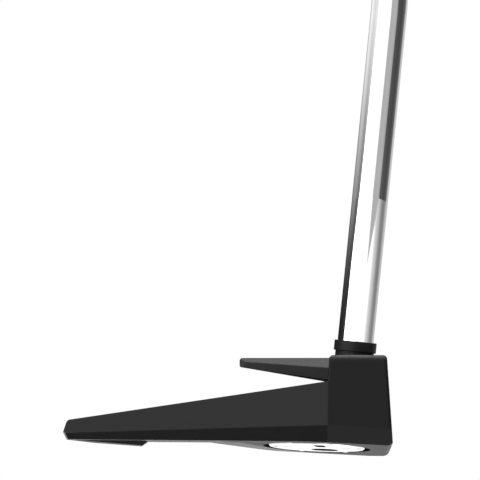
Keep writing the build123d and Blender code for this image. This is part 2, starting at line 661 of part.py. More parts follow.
# small plug that stops bonding epoxy running up the shaft
plug_r, plug_end_r = SHAFT_R - SHAFT_WALL - 0.03, SHAFT_R - SHAFT_WALL - 0.35
plug = revolved([(0, 0.0), (plug_end_r, 0.0), (plug_r, 0.5),
                 (plug_r, 7.5), (plug_end_r, 8.0), (0, 8.0)])
plug_frame = Plane(origin=shaft_tip + lean_dir * 0.4, x_dir=(0, 1, 0), z_dir=lean_dir)
save(plug.moved(plug_frame.location), "shaft_tip_plug")

# ---------------------------------------------------------------- grip tape
tape_in, tape_out = BUTT_R + 0.01, BUTT_R + TAPE_T
tape_bottom, tape_top = GRIP_START + 8, SHAFT_TOP - 1.0
tape = revolved([(tape_in, tape_bottom), (tape_out, tape_bottom),
                 (tape_out, tape_top), (tape_in, tape_top)])
save(tape.moved(main_frame.location), "grip_tape")


# ---------------------------------------------------------------- grip
def grip_section(z, half_width, flat, back):
    """Section flattened towards local -y (toe side) and rounded towards local +y."""
    count = 48
    points = []
    for i in range(count):
        angle = 2 * pi * i / count
        x = half_width * sin(angle)
        y = -half_width * cos(angle)
        if y < 0:
            y = -flat * (1 - (1 - min(1.0, -y / half_width)) ** 2.2)
        else:
            y = y * (back / half_width)
        points.append(Vector(x, y, z))
    return Wire([Edge.make_spline(points, periodic=True)])


def build_grip():
    wires = [grip_section(GRIP_START + up, *shape) for up, *shape in GRIP_SECTIONS]
    body = Solid.make_loft(wires, ruled=False)
    top_up, *top_shape = GRIP_SECTIONS[-1]
    collar = Solid.make_loft([grip_section(GRIP_START + top_up, *top_shape),
                              grip_section(*CAP_SECTIONS[0])], ruled=True)
    grip = one(body.fuse(collar).clean())
    # stepped bore: shaft, shaft with tape, then the cap's stem
    shaft_r, tape_r, stem_r = BUTT_R + 0.01, BUTT_R + TAPE_T + 0.01, STEM_R + 0.02
    bore = revolved([
        (0, GRIP_START - 5), (shaft_r, GRIP_START - 5), (shaft_r, GRIP_START + 7.5),
        (tape_r, GRIP_START + 7.9), (tape_r, SHAFT_TOP + 0.03), (stem_r, SHAFT_TOP + 0.03),
        (stem_r, BUTT_L + 3), (0, BUTT_L + 3)])
    return one(grip.cut(bore))


def build_end_cap():
    """Cap with a stem down to the shaft's top and a vent hole through both."""
    cap = Solid.make_loft([grip_section(*row) for row in CAP_SECTIONS], ruled=True)
    stem_z = SHAFT_TOP + 0.05
    stem = Solid.make_cylinder(STEM_R, CAP_START - stem_z).moved(Location((0, 0, stem_z)))
    cap = one(cap.fuse(stem))
    vent = Solid.make_cylinder(VENT_R, 12).moved(Location((0, 0, SHAFT_TOP - 3)))
    return one(cap.cut(vent))


save(build_end_cap().moved(main_frame.location), "grip_end_cap")
save(build_grip().moved(main_frame.location), "grip")
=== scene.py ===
"""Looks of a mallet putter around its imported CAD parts: materials, moulded grip, studio and camera.

The frame is that of the CAD part: +X to the target, +Y from toe to heel, +Z up, with the origin on
the ground under the flat of the sole. The shaft leans up towards +Y. Blender units are metres;
sizes marked mm are turned into metres with MM.
"""
import math

import bpy
import numpy as np
from mathutils import Matrix, Vector


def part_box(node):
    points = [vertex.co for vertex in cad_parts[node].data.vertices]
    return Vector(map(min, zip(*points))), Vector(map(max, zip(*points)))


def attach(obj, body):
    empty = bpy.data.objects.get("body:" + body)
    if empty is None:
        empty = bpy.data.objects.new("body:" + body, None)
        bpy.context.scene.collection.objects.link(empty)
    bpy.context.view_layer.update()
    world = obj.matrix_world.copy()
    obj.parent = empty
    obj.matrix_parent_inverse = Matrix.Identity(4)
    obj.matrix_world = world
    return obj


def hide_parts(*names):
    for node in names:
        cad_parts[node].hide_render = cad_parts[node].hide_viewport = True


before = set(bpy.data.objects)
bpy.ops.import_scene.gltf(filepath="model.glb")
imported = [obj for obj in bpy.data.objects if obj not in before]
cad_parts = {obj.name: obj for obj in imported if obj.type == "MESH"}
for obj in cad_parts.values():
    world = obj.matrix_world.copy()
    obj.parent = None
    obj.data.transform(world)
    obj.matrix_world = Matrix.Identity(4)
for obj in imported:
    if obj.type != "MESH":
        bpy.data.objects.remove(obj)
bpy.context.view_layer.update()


MM = 0.001
DEGREES = 180 / math.pi         # degrees in one radian
FALL = (1.0, 0.0)               # output of a ramp that goes down

# Sole under the weights, mm: z = CAMBER * (|y| - SOLE_ZERO_Y) + RISE * (SOLE_ZERO_X - x)
CAMBER, RISE = 0.0805, 0.0433
SOLE_ZERO_X, SOLE_ZERO_Y = -0.8, 9.4
WEIGHT_X, WEIGHT_Y = -14.4, 28.6        # centre of the heel weight; the toe weight mirrors it
WEIGHT_TURN = 8.5                       # degrees the spanner holes are turned off the X axis

# Shaft and grip, mm, measured along the shaft line from the ground
LIE = math.radians(70.0)
AXIS = Vector((0.0, math.cos(LIE), math.sin(LIE)))
BUTT_HEIGHT = 889.0
GRIP_LENGTH = 267.0
GRIP_MOUTH = BUTT_HEIGHT - GRIP_LENGTH
BUTT_RADIUS = 7.365
TAPE_THICKNESS = 0.20


# ------------------------------------------------------------------ helpers
class Tree:
    """Short calls for building a shader node tree."""

    def __init__(self, node_tree):
        self.node_tree = node_tree
        node_tree.nodes.clear()

    def node(self, kind, **props):
        node = self.node_tree.nodes.new("ShaderNode" + kind)
        for key, value in props.items():
            setattr(node, key, value)
        return node

    def put(self, socket, value):
        """Link a socket or set a plain value; None leaves the input alone."""
        if isinstance(value, bpy.types.NodeSocket):
            self.node_tree.links.new(value, socket)
        elif value is not None:
            if isinstance(value, tuple) and len(value) == 3 and socket.type == "RGBA":
                value = (*value, 1.0)
            socket.default_value = value

    def output(self, shader, kind="OutputMaterial"):
        self.put(self.node(kind).inputs["Surface"], shader)

    def math(self, operation, a, b=None):
        node = self.node("Math", operation=operation)
        self.put(node.inputs[0], a)
        self.put(node.inputs[1], b)
        return node.outputs[0]

    def plus(self, a, b):
        return self.math("ADD", a, b)

    def minus(self, a, b):
        return self.math("SUBTRACT", a, b)

    def times(self, product, *factors):
        for factor in factors:
            product = self.math("MULTIPLY", product, factor)
        return product

    def hypot(self, a, b):
        return self.math("SQRT", self.plus(self.times(a, a), self.times(b, b)))

    def spread(self, value, base, span):
        """base + value * span"""
        return self.plus(base, self.times(value, span))

    def vector_math(self, operation, a, b=None):
        node = self.node("VectorMath", operation=operation)
        self.put(node.inputs[0], a)
        self.put(node.inputs[1], b)
        return node.outputs["Value" if operation in ("DOT_PRODUCT", "LENGTH") else "Vector"]

    def dot(self, a, b):
        return self.vector_math("DOT_PRODUCT", a, b)

    def ramp(self, value, over, to=(0.0, 1.0), kind="LINEAR"):
        """Clamped ramp that gives to[0] at over[0] and to[1] at over[1]."""
        node = self.node("MapRange", interpolation_type=kind, clamp=True)
        for socket, entry in zip(node.inputs, (value, *over, *to)):
            self.put(socket, entry)
        return node.outputs[0]

    def smooth_ramp(self, value, over, to=(0.0, 1.0)):
        return self.ramp(value, over, to, kind="SMOOTHSTEP")

    def curve(self, value, points):
        """Piecewise linear function through (x, y) points, built as a colour ramp of greys."""
        first, last = points[0][0], points[-1][0]
        top = max(y for _, y in points)
        node = self.node("ValToRGB")
        stops = node.color_ramp.elements
        while len(stops) > 1:
            stops.remove(stops[-1])
        for i, (x, y) in enumerate(points):
            position = (x - first) / (last - first)
            stop = stops[0] if i == 0 else stops.new(position)
            stop.position = position
            stop.color = (y / top, y / top, y / top, 1)
        self.put(node.inputs[0], self.ramp(value, over=(first, last)))
        return self.times(node.outputs[0], top)

    def mix(self, factor, a, b):
        node = self.node("Mix", data_type="FLOAT")
        for i, value in ((0, factor), (2, a), (3, b)):
            self.put(node.inputs[i], value)
        return node.outputs[0]

    def mix_colour(self, factor, a, b):
        node = self.node("Mix", data_type="RGBA")
        for i, value in ((0, factor), (6, a), (7, b)):
            self.put(node.inputs[i], value)
        return node.outputs[2]

    def mix_shader(self, factor, a, b):
        node = self.node("MixShader")
        for i, value in enumerate((factor, a, b)):
            self.put(node.inputs[i], value)
        return node.outputs[0]

    def noise(self, place, scale, detail=3.0, rough=0.55):
        node = self.node("TexNoise")
        self.put(node.inputs["Vector"], place)
        self.put(node.inputs["Scale"], scale)
        self.put(node.inputs["Detail"], detail)
        self.put(node.inputs["Roughness"], rough)
        return node.outputs[0]

    def mottle(self, a, b, share=0.6, over=(0.3, 0.7)):
        """Two noises added, a with the given share, and stretched to 0..1."""
        return self.ramp(self.plus(self.times(a, share), self.times(b, 1 - share)), over)

    def place(self, kind="Object"):
        return self.node("TexCoord").outputs[kind]

    def xyz(self, vector):
        node = self.node("SeparateXYZ")
        self.put(node.inputs[0], vector)
        return node.outputs

    def join(self, x, y, z):
        node = self.node("CombineXYZ")
        for socket, value in zip(node.inputs, (x, y, z)):
            self.put(socket, value)
        return node.outputs[0]

    def rounded(self, radius):
        """Normal with the edges rounded to a radius in mm."""
        node = self.node("Bevel", samples=6)
        node.inputs["Radius"].default_value = radius * MM
        return node.outputs[0]

    def edges(self, rounded, least=0.02, most=0.25):
        """Mask of the edges, from how far the rounded normal turns off the plain one."""
        plain = self.node("NewGeometry").outputs["Normal"]
        return self.ramp(self.dot(rounded, plain), over=(1.0 - least, 1.0 - most))

    def bump(self, height, depth, strength=1.0, normal=None):
        """Normal bumped by a height map whose full range is depth mm."""
        node = self.node("Bump")
        self.put(node.inputs["Strength"], strength)
        self.put(node.inputs["Distance"], depth * MM)
        self.put(node.inputs["Height"], height)
        self.put(node.inputs["Normal"], normal)
        return node.outputs[0]

    def principled(self, colour, rough, normal, metallic=0.0, spec=0.5, coat=0.0):
        node = self.node("BsdfPrincipled")
        self.put(node.inputs["Base Color"], colour)
        self.put(node.inputs["Roughness"], rough)
        self.put(node.inputs["Normal"], normal)
        self.put(node.inputs["Metallic"], metallic)
        self.put(node.inputs["Specular IOR Level"], spec)
        self.put(node.inputs["Coat Weight"], coat)
        self.output(node.outputs["BSDF"])


def new_material(name):
    material = bpy.data.materials.new(name)
    material.use_nodes = True
    return material, Tree(material.node_tree)


def mesh_object(name, verts, faces):
    mesh = bpy.data.meshes.new(name)
    mesh.from_pydata(verts, [], faces)
    piece = bpy.data.objects.new(name, mesh)
    bpy.context.scene.collection.objects.link(piece)
    return piece


def aim(piece, target):
    """Turn a light or camera so that it looks at the target."""
    piece.rotation_mode = "QUATERNION"
    piece.rotation_quaternion = (target - piece.location).to_track_quat("-Z", "Y")


# ------------------------------------------------------------------ materials
def surface(name, base, rough, metallic=0.0, spec=0.5, coat=0.0, vary=0.08, rough_vary=0.05,
            grain=2500.0, grain_depth=0.004, bevel=0.0, wear=None, wear_amount=0.0, tint=None,
            relief=None):
    """A finish with colour and roughness variation at two scales and a fine grain in the normal.

    grain_depth and bevel are in mm, wear is the colour of rubbed edges, tint a second colour laid
    on in patches, and relief a function that adds to the normal.
    """
    material, t = new_material(name)
    place = t.place()
    coarse = t.noise(place, scale=90.0)
    medium = t.noise(place, scale=810.0, detail=4.0)
    blotch = t.mottle(coarse, medium)
    darker = tuple(c * (1 - vary) for c in base)
    lighter = tuple(c * (1 + vary) for c in base)
    colour = t.mix_colour(blotch, darker, lighter)
    if tint is not None:
        patches = t.ramp(coarse, over=(0.45, 0.75), to=(0.0, 0.5))
        colour = t.mix_colour(patches, colour, tint)
    normal = t.rounded(bevel) if bevel > 0 else None
    if wear is not None:
        flecks = t.noise(place, scale=1400.0, detail=4.0, rough=0.7)
        broken = t.ramp(flecks, over=(0.42, 0.62), to=(0.0, wear_amount))
        colour = t.mix_colour(t.times(t.edges(normal), broken), colour, wear)
    fine = t.noise(place, scale=grain, detail=2.0, rough=0.6)
    normal = t.bump(fine, depth=grain_depth, normal=normal)
    if relief:
        normal = relief(t, place, normal)
    t.principled(colour, t.spread(blotch, base=rough - rough_vary, span=2 * rough_vary), normal,
                 metallic=metallic, spec=spec, coat=coat)
    return material


def weight_frame(side):
    """Centre, two directions in the plane and downward normal of a weight; side is +1 at the heel."""
    height = CAMBER * (WEIGHT_Y - SOLE_ZERO_Y) + RISE * (SOLE_ZERO_X - WEIGHT_X)
    centre = Vector((WEIGHT_X * MM, side * WEIGHT_Y * MM, height * MM))
    normal = Vector((-RISE, CAMBER * side, -1.0)).normalized()
    x = Vector((1, 0, 0))
    x = (x - normal * x.dot(normal)).normalized()
    y = normal.cross(x)
    turn = math.radians(WEIGHT_TURN if side < 0 else 180 - WEIGHT_TURN)
    along = x * math.cos(turn) + y * math.sin(turn)
    return centre, along, normal.cross(along), normal


def weight_recess(t, x, y, z):
    """Mask of the recess round each weight, 9 mm deep and 13.8 mm in radius, where shade is painted
    into the head's colour.
    """
    centre, _, _, normal = weight_frame(1)
    mirrored = t.join(x, t.math("ABSOLUTE", y), z)
    offset = t.vector_math("SUBTRACT", mirrored, tuple(centre))
    down = t.dot(offset, tuple(normal))
    radius = t.math("SQRT", t.minus(t.dot(offset, offset), t.times(down, down)))
    return t.times(t.ramp(radius, over=(13.70 * MM, 13.80 * MM), to=FALL),
                   t.ramp(down, over=(-0.05 * MM, -0.02 * MM), to=FALL),
                   t.ramp(down, over=(-9.0 * MM, -8.9 * MM)))


def head_finish():
    """Satin black coating over a fine blasted surface, rougher on the sole, rubbed at the edges."""
    material, t = new_material("head_black")
    place = t.place()
    x, y, z = t.xyz(place)
    blotch = t.mottle(t.noise(place, scale=55.0, detail=2.0),
                      t.noise(place, scale=620.0, detail=4.0), share=0.55)
    colour = t.mix_colour(blotch, (0.0027, 0.0027, 0.0028), (0.0036, 0.0036, 0.0037))

    # edges rubbed lighter
    rounded = t.rounded(0.22)
    flecks = t.noise(place, scale=900.0, detail=5.0, rough=0.7)
    rubbed = t.times(t.edges(rounded, least=0.01, most=0.12),
                     t.ramp(flecks, over=(0.38, 0.66), to=(0.15, 1.0)))
    colour = t.mix_colour(t.times(rubbed, 0.45), colour, (0.020, 0.0195, 0.019))

    # hair-fine rub lines on the sole, running heel to toe
    facing = t.node("NewGeometry").outputs["True Normal"]
    sole = t.ramp(t.xyz(facing)[2], over=(-0.90, -0.97))
    streaks = t.noise(t.join(t.times(x, 5200.0), t.times(y, 260.0), 0.0), scale=1.0, rough=0.6)
    scuff = t.times(sole, t.ramp(streaks, over=(0.66, 0.78), to=(0.0, 0.35)))
    colour = t.mix_colour(scuff, colour, (0.028, 0.027, 0.026))

    # smoother where the sole tilts to the rear, and on its raised level part at the rear
    facing_x = t.xyz(facing)[0]
    tilted = t.times(sole, t.ramp(facing_x, over=(-0.06, -0.085)))
    raised = t.times(sole, t.ramp(z, over=(3.35 * MM, 3.45 * MM)))
    level_rear = t.times(t.ramp(facing_x, over=(-0.03, -0.02)),
                         t.ramp(x, over=(-36.0 * MM, -39.0 * MM)))
    raised = t.times(raised, level_rear)
    rough = t.plus(t.spread(blotch, base=0.41, span=0.08), t.times(sole, 0.03))
    rough = t.minus(rough, t.times(t.math("MAXIMUM", tilted, raised), 0.10))

    # painted shade in the recess round each weight: the colour darkened and the sheen taken off
    shaded_recess = weight_recess(t, x, y, z)
    colour = t.mix_colour(shaded_recess, colour, (0.0022, 0.0021, 0.0020))

    grain = t.plus(t.noise(place, scale=7000.0, detail=2.0, rough=0.6),
                   t.times(t.noise(place, scale=1900.0, detail=2.0), 0.6))
    t.principled(colour, t.mix(shaded_recess, rough, 0.8), t.bump(grain, depth=0.0018, normal=rounded),
                 spec=t.mix(shaded_recess, 0.15, 0.02))
    return material


def chrome_finish():
    """Bright nickel-chrome plate with faint haze, a trace of orange peel and hairline wipe marks."""
    material, t = new_material("shaft_chrome")
    place = t.place()
    haze = t.noise(place, scale=70.0, detail=4.0, rough=0.6)
    stretched = t.vector_math("MULTIPLY", place, (2600.0, 2600.0, 90.0))
    wipes = t.noise(stretched, scale=1.0, rough=0.6)
    blotch = t.mottle(haze, wipes, over=(0.35, 0.68))
    t.principled(t.mix_colour(blotch, (0.925, 0.925, 0.93), (0.955, 0.955, 0.955)),
                 t.spread(blotch, base=0.045, span=0.035),
                 t.bump(t.noise(place, scale=260.0, detail=2.0), depth=0.0012, strength=0.5),
                 metallic=1.0)
    return material


def weight_finish(name, side):
    """Turned steel weight with etched bars, and painted shade inside the spanner holes."""
    material, t = new_material(name)
    place = t.place()
    centre, *directions = weight_frame(side)
    offset = t.vector_math("SUBTRACT", place, tuple(centre))
    along, across, down = (t.dot(offset, tuple(direction)) for direction in directions)
    radius = t.hypot(along, across)
    turned = t.noise(t.join(t.times(radius, 5200.0), 0.0, 0.0), scale=1.0, detail=2.0, rough=0.7)
    blotch = t.mottle(turned, t.noise(place, scale=160.0, rough=0.6))
    colour = t.mix_colour(blotch, (0.90, 0.90, 0.90), (0.97, 0.97, 0.97))

    # etched bars near each spanner hole: five short strokes a side, matt against the polish
    stroke_pitch = 1.25 * MM
    from_middle = t.math("ABSOLUTE", along)
    strokes = t.math("SINE", t.times(across, 2 * math.pi / stroke_pitch))
    strokes = t.ramp(strokes, over=(0.0, 0.35))
    panel = t.times(t.ramp(from_middle, over=(6.2 * MM, 6.35 * MM)),
                    t.ramp(from_middle, over=(9.0 * MM, 9.15 * MM), to=FALL),
                    t.ramp(t.math("ABSOLUTE", across), over=(2.9 * MM, 3.05 * MM), to=FALL))
    face = t.ramp(down, over=(-0.25 * MM, -0.12 * MM))
    etch = t.times(strokes, panel, face)
    colour = t.mix_colour(t.times(etch, 0.75), colour, (0.52, 0.54, 0.57))

    # painted shade: the insides of the two spanner holes painted near black
    hole_place = 10.77 * MM
    from_hole = t.hypot(t.minus(from_middle, hole_place), across)
    hole_shade = t.times(t.ramp(from_hole, over=(0.76 * MM, 0.82 * MM), to=FALL),
                   t.ramp(down, over=(-0.03 * MM, -0.01 * MM), to=FALL))
    colour = t.mix_colour(hole_shade, colour, (0.02, 0.02, 0.02))

    rough = t.spread(blotch, base=0.16, span=0.08)
    t.principled(colour, t.plus(rough, t.times(etch, 0.25)),
                 t.bump(turned, depth=0.0012, strength=0.6, normal=t.rounded(0.12)), metallic=1.0)
    return material


def rubber_finish():
    """Black moulded rubber: matt, slightly dusty in the hollows."""
    material, t = new_material("grip_rubber")
    place = t.place()
    blotch = t.mottle(t.noise(place, scale=28.0), t.noise(place, scale=420.0, detail=4.0))
    colour = t.mix_colour(blotch, (0.0135, 0.0135, 0.014), (0.0205, 0.0205, 0.021))
    pointiness = t.node("NewGeometry").outputs["Pointiness"]
    hollow = t.ramp(pointiness, over=(0.44, 0.50), to=FALL)
    colour = t.mix_colour(t.times(hollow, 0.4), colour, (0.04, 0.039, 0.037))
    t.principled(colour, t.spread(blotch, base=0.60, span=0.14),
                 t.bump(t.noise(place, scale=3600.0, rough=0.6), depth=0.012), spec=0.35)
    return material


def milling_lines(t, place, normal):
    """Fine lines along Y, spaced up the face."""
    _, y, z = t.xyz(place)
    lines = t.noise(t.join(t.times(z, 9000.0), t.times(y, 120.0), 0.0), scale=1.0, detail=2.0)
    return t.bump(lines, depth=0.004, normal=normal)


def tape_finish():
    """Cream masking tape with a paper weave and faint creases."""
    material, t = new_material("tape_cream")
    place = t.place()
    x, y, z = t.xyz(place)
    crepe = t.noise(t.join(t.times(z, 2400.0), t.times(x, 300.0), t.times(y, 300.0)), scale=1.0)
    blotch = t.mottle(crepe, t.noise(place, scale=60.0))
    t.principled(t.mix_colour(blotch, (0.50, 0.42, 0.27), (0.66, 0.58, 0.40)),
                 t.spread(blotch, base=0.70, span=0.15), t.bump(crepe, depth=0.02))
    return material


# Finish of each CAD part
FINISHES = {
    "head_body": head_finish(),
    "face_insert": surface(
        "insert_black", base=(0.055, 0.056, 0.06), rough=0.34, metallic=1.0, vary=0.12,
        bevel=0.15, wear=(0.35, 0.35, 0.35), wear_amount=0.5, relief=milling_lines),
    "insert_backing": surface(
        "backing_grey", base=(0.13, 0.13, 0.135), rough=0.72, spec=0.3, vary=0.1,
        grain=2600.0, grain_depth=0.01),
    "alignment_spar": surface(
        "spar_black", base=(0.0180, 0.0180, 0.0185), rough=0.42, spec=0.13, rough_vary=0.04,
        grain=6500.0, grain_depth=0.003, bevel=0.25, wear=(0.06, 0.06, 0.062), wear_amount=0.5),
    "spar_dowels": surface(
        "dowel_steel", base=(0.52, 0.52, 0.53), rough=0.30, metallic=1.0, vary=0.07, bevel=0.1),
    "sight_line": surface(
        "line_white", base=(0.78, 0.78, 0.76), rough=0.34, coat=0.2, vary=0.04, rough_vary=0.06,
        grain=1500.0, bevel=0.08),
    "toe_weight": weight_finish("toe_weight_steel", side=-1),
    "heel_weight": weight_finish("heel_weight_steel", side=1),
    "toe_weight_marks": surface(
        "mark_black", base=(0.004, 0.004, 0.0045), rough=0.5, spec=0.0, vary=0.15),
    "toe_seal_ring": surface(
        "seal_rubber", base=(0.018, 0.018, 0.019), rough=0.62, spec=0.4, vary=0.12,
        rough_vary=0.08),
    "toe_thread_bush": surface(
        "bush_brass", base=(0.74, 0.50, 0.21), rough=0.27, metallic=1.0, rough_vary=0.06,
        bevel=0.1, tint=(0.55, 0.36, 0.15)),
    "ferrule": surface(
        "ferrule_black", base=(0.0052, 0.0052, 0.0055), rough=0.42, spec=0.12,
        grain=5000.0, grain_depth=0.002, bevel=0.12),
    "shaft": chrome_finish(),
    "shaft_bond": surface(
        "bond_epoxy", base=(0.09, 0.085, 0.075), rough=0.42, vary=0.2, rough_vary=0.1,
        tint=(0.14, 0.12, 0.09)),
    "shaft_tip_plug": surface("plug_plastic", base=(0.30, 0.30, 0.31), rough=0.5, vary=0.06),
    "grip": rubber_finish(),
    "grip_tape": tape_finish(),
    "grip_end_cap": surface(
        "cap_plastic", base=(0.012, 0.012, 0.0125), rough=0.46, spec=0.4, vary=0.1,
        rough_vary=0.08, grain=3200.0, grain_depth=0.008, bevel=0.3),
}
for part in ("weight_marks", "seal_ring", "thread_bush"):
    FINISHES["heel_" + part] = FINISHES["toe_" + part]


def paint_parts():
    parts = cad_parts
    for name in parts:
        mesh = parts[name].data
        mesh.materials.clear()
        mesh.materials.append(FINISHES[name])
        for polygon in mesh.polygons:
            polygon.material_index = 0


paint_parts()


# ------------------------------------------------------------------ moulded grip
# Heights in this section are mm above the mouth, the lower end of the grip.
GRIP_SHOULDER = GRIP_LENGTH - 5.0
GRIP_TOP = GRIP_LENGTH - 3.0
RING_STEP = 0.42
RING_POINTS = 144
BORE = BUTT_RADIUS + 0.01               # clear of the shaft
TAPE_BORE = BORE + TAPE_THICKNESS       # clear of the tape

# height, half width, distance of the flat side from the axis, distance of the back
GRIP_STATIONS = np.array([
    [0, 9.6, 9.2, 9.6],
    [30, 10.2, 9.5, 10.4],
    [90, 11.3, 10.0, 12.0],
    [150, 12.3, 10.6, 13.6],
    [205, 13.0, 11.0, 15.6],
    [245, 13.4, 11.4, 17.2],
    [GRIP_SHOULDER, 13.4, 11.6, 17.4],
    [GRIP_TOP, 13.2, 11.4, 17.2],
])
STATION_HEIGHTS, SECTIONS = GRIP_STATIONS[:, 0], GRIP_STATIONS[:, 1:]
SECTION_SLOPES = np.gradient(SECTIONS, STATION_HEIGHTS, axis=0)

# radius and height of the rings down the inside, from the top to the mouth
BORE_RINGS = [(5.02, GRIP_TOP), (5.02, GRIP_LENGTH - 4.97), (TAPE_BORE, GRIP_LENGTH - 4.97),
              (TAPE_BORE, 7.9), (BORE, 7.5), (BORE, 0.0)]


def shaft_ground():
    """Where the shaft line meets the ground."""
    low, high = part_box("grip_tape")
    # the tape is a tube of revolution on the shaft line, so the middle of its box is on that line
    middle = (low + high) / 2
    return Vector((middle.x, middle.y - middle.z * AXIS.y / AXIS.z, 0.0))


def grip_section(height):
    """Half width, flat distance and back distance: cubic between stations, straight near the top."""
    last = len(STATION_HEIGHTS) - 2
    i = int(np.clip(np.searchsorted(STATION_HEIGHTS, height) - 1, 0, last))
    gap = STATION_HEIGHTS[i + 1] - STATION_HEIGHTS[i]
    t = (height - STATION_HEIGHTS[i]) / gap
    if i >= last - 1:
        return SECTIONS[i] * (1 - t) + SECTIONS[i + 1] * t
    return ((2 * t ** 3 - 3 * t ** 2 + 1) * SECTIONS[i]
            + (t ** 3 - 2 * t ** 2 + t) * gap * SECTION_SLOPES[i]
            + (-2 * t ** 3 + 3 * t ** 2) * SECTIONS[i + 1]
            + (t ** 3 - t ** 2) * gap * SECTION_SLOPES[i + 1])


def rise(x, start, end):
    """Smooth step from 0 to 1."""
    t = np.clip((x - start) / (end - start), 0, 1)
    return t * t * (3 - 2 * t)


def groove(distance, width):
    """Bell-shaped groove, 1 deep on its middle line."""
    return np.exp(-(distance / width) ** 2)


def pattern_depth(height, turned, radius):
    """Depth of the moulded pattern, mm; turned is the angle off the middle of the flat."""
    rib_pitch, slant_pitch, slant = 2.52, 6.3, 0.62
    patterned = rise(height, 15.0, 19.0) * (1 - rise(height, 236.0, 242.0))
    # cross ribs on the flat
    flat = ((1 - rise(turned, 0.86, 0.98)) * rise(height, 24.0, 27.0)
            * (1 - rise(height, 222.0, 226.0)))
    rib = 0.5 - 0.5 * np.cos(2 * np.pi * height / rib_pitch)
    depth = 0.30 * flat * rib ** 2
    # slanting grooves on the back and sides that meet in a point on the middle of the back
    back = rise(turned, 1.22, 1.34) * patterned
    turns = (height + slant * turned * radius) / slant_pitch
    depth = depth + 0.42 * back * groove((turns - np.round(turns)) * slant_pitch, 0.72)
    # a seam either side of the flat, and a border ring near each end
    depth = depth + 0.38 * groove((turned - 1.10) * radius, 0.55) * patterned
    for border in (12.5, 246.0):
        depth = depth + 0.40 * groove(height - border, 0.75)
    # whole surface slightly in, and the mouth rolled over
    return depth + 0.05 + 0.5 * (1 - rise(height, 0.0, 1.3))


def grip_ring(height, angle):
    """x and y of the outer ring at a height; the flat is at -y, angle 0."""
    radius, flat, back = grip_section(height)
    x = radius * np.sin(angle)
    y = -radius * np.cos(angle)
    flattened = -flat * (1 - (1 - np.minimum(1.0, -y / radius)) ** 2.2)
    y = np.where(y < 0, flattened, y * (back / radius))
    # outward direction of the section, to cut inwards along it
    dx = np.roll(x, -1) - np.roll(x, 1)
    dy = np.roll(y, -1) - np.roll(y, 1)
    length = np.hypot(dx, dy)
    out_x, out_y = -dy / length, dx / length
    sign = np.sign(out_x * x + out_y * y)
    turned = np.abs((angle + np.pi) % (2 * np.pi) - np.pi)
    depth = pattern_depth(height, turned, radius)
    return x - out_x * sign * depth, y - out_y * sign * depth


def build_grip():
    """Closed grip body: patterned outside up to the top, then back down the bore."""
    n = RING_POINTS
    angle = 2 * np.pi * np.arange(n) / n
    heights = [*np.arange(0.0, GRIP_SHOULDER, RING_STEP), GRIP_SHOULDER, GRIP_TOP - 1.0, GRIP_TOP]
    rings = [(*grip_ring(height, angle), height) for height in heights]
    rings += [(r * np.sin(angle), -r * np.cos(angle), height) for r, height in BORE_RINGS]
    ground = shaft_ground()
    across = Vector((1, 0, 0))
    backward = AXIS.cross(across)
    verts = []
    for xs, ys, height in rings:
        up = AXIS * float(GRIP_MOUTH + height)
        for x, y in zip(xs, ys):
            verts.append(ground + (across * float(x) + backward * float(y) + up) * MM)
    faces = []
    for k in range(len(rings)):
        above = (k + 1) % len(rings)
        for i in range(n):
            j = (i + 1) % n
            faces.append((k * n + i, k * n + j, above * n + j, above * n + i))
    grip = mesh_object("moulded_grip", verts, faces)
    # only the outside is shaded smooth
    outer = len(heights) - 1
    grip.data.polygons.foreach_set("use_smooth", [f // n < outer for f in range(len(faces))])
    grip.data.update()
    grip.data.materials.append(FINISHES["grip"])
    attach(grip, "club")
    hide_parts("grip")


build_grip()


# ------------------------------------------------------------------ studio
# Brightness by azimuth: degrees from the camera side (-Y), positive towards +X, the camera's right.
LEVEL_LIGHT = [
    (-180, 0.12), (-140, 0.12), (-112, 0.5), (-84, 3.5), (-14, 3.5), (0, 1.3), (50, 1.12),
    (52, 0.95), (56, 0.77), (63, 0.64), (71, 0.56), (79, 0.44), (87, 0.29), (96, 0.24),
    (105, 0.21), (116, 0.29), (129, 0.50), (146, 0.60), (165, 0.60), (174, 0.3), (180, 0.12)]
# the same above the arch, where flags dim the right
HIGH_LIGHT = [
    (-180, 0.12), (-140, 0.12), (-112, 0.5), (-84, 3.5), (-14, 3.5), (0, 1.3), (19, 1.12),
    (24, 0.44), (54, 0.47), (65, 0.36), (69, 0.085), (100, 0.06), (116, 0.10), (128, 0.17),
    (145, 0.33), (165, 0.45), (174, 0.3), (180, 0.12)]
# elevation of the arch between the two, degrees, by azimuth
ARCH = [
    (-180, 3.5), (15, 3.5), (23, 7.0), (32, 12.6), (40, 16.6), (50, 20.0), (58, 21.6),
    (64, 22.4), (69, 22.5), (79, 19.1), (88, 15.6), (97, 12.3), (106, 9.1), (116, 6.3),
    (124, 4.0), (180, 4.0)]
# brightness below the horizon by azimuth
LOW_LIGHT = [
    (-180, 1.1), (-120, 0.9), (-80, 0.62), (-5, 0.62), (15, 1.75), (70, 1.75), (110, 0.9),
    (150, 1.1), (180, 1.1)]
# gain on the low light behind the putter, by elevation
BEHIND_GAIN = [
    (-90, 1.0), (-40, 1.0), (-16, 0.85), (-11, 0.93), (-8, 1.25), (-5, 1.5), (0, 1.5), (90, 1.5)]


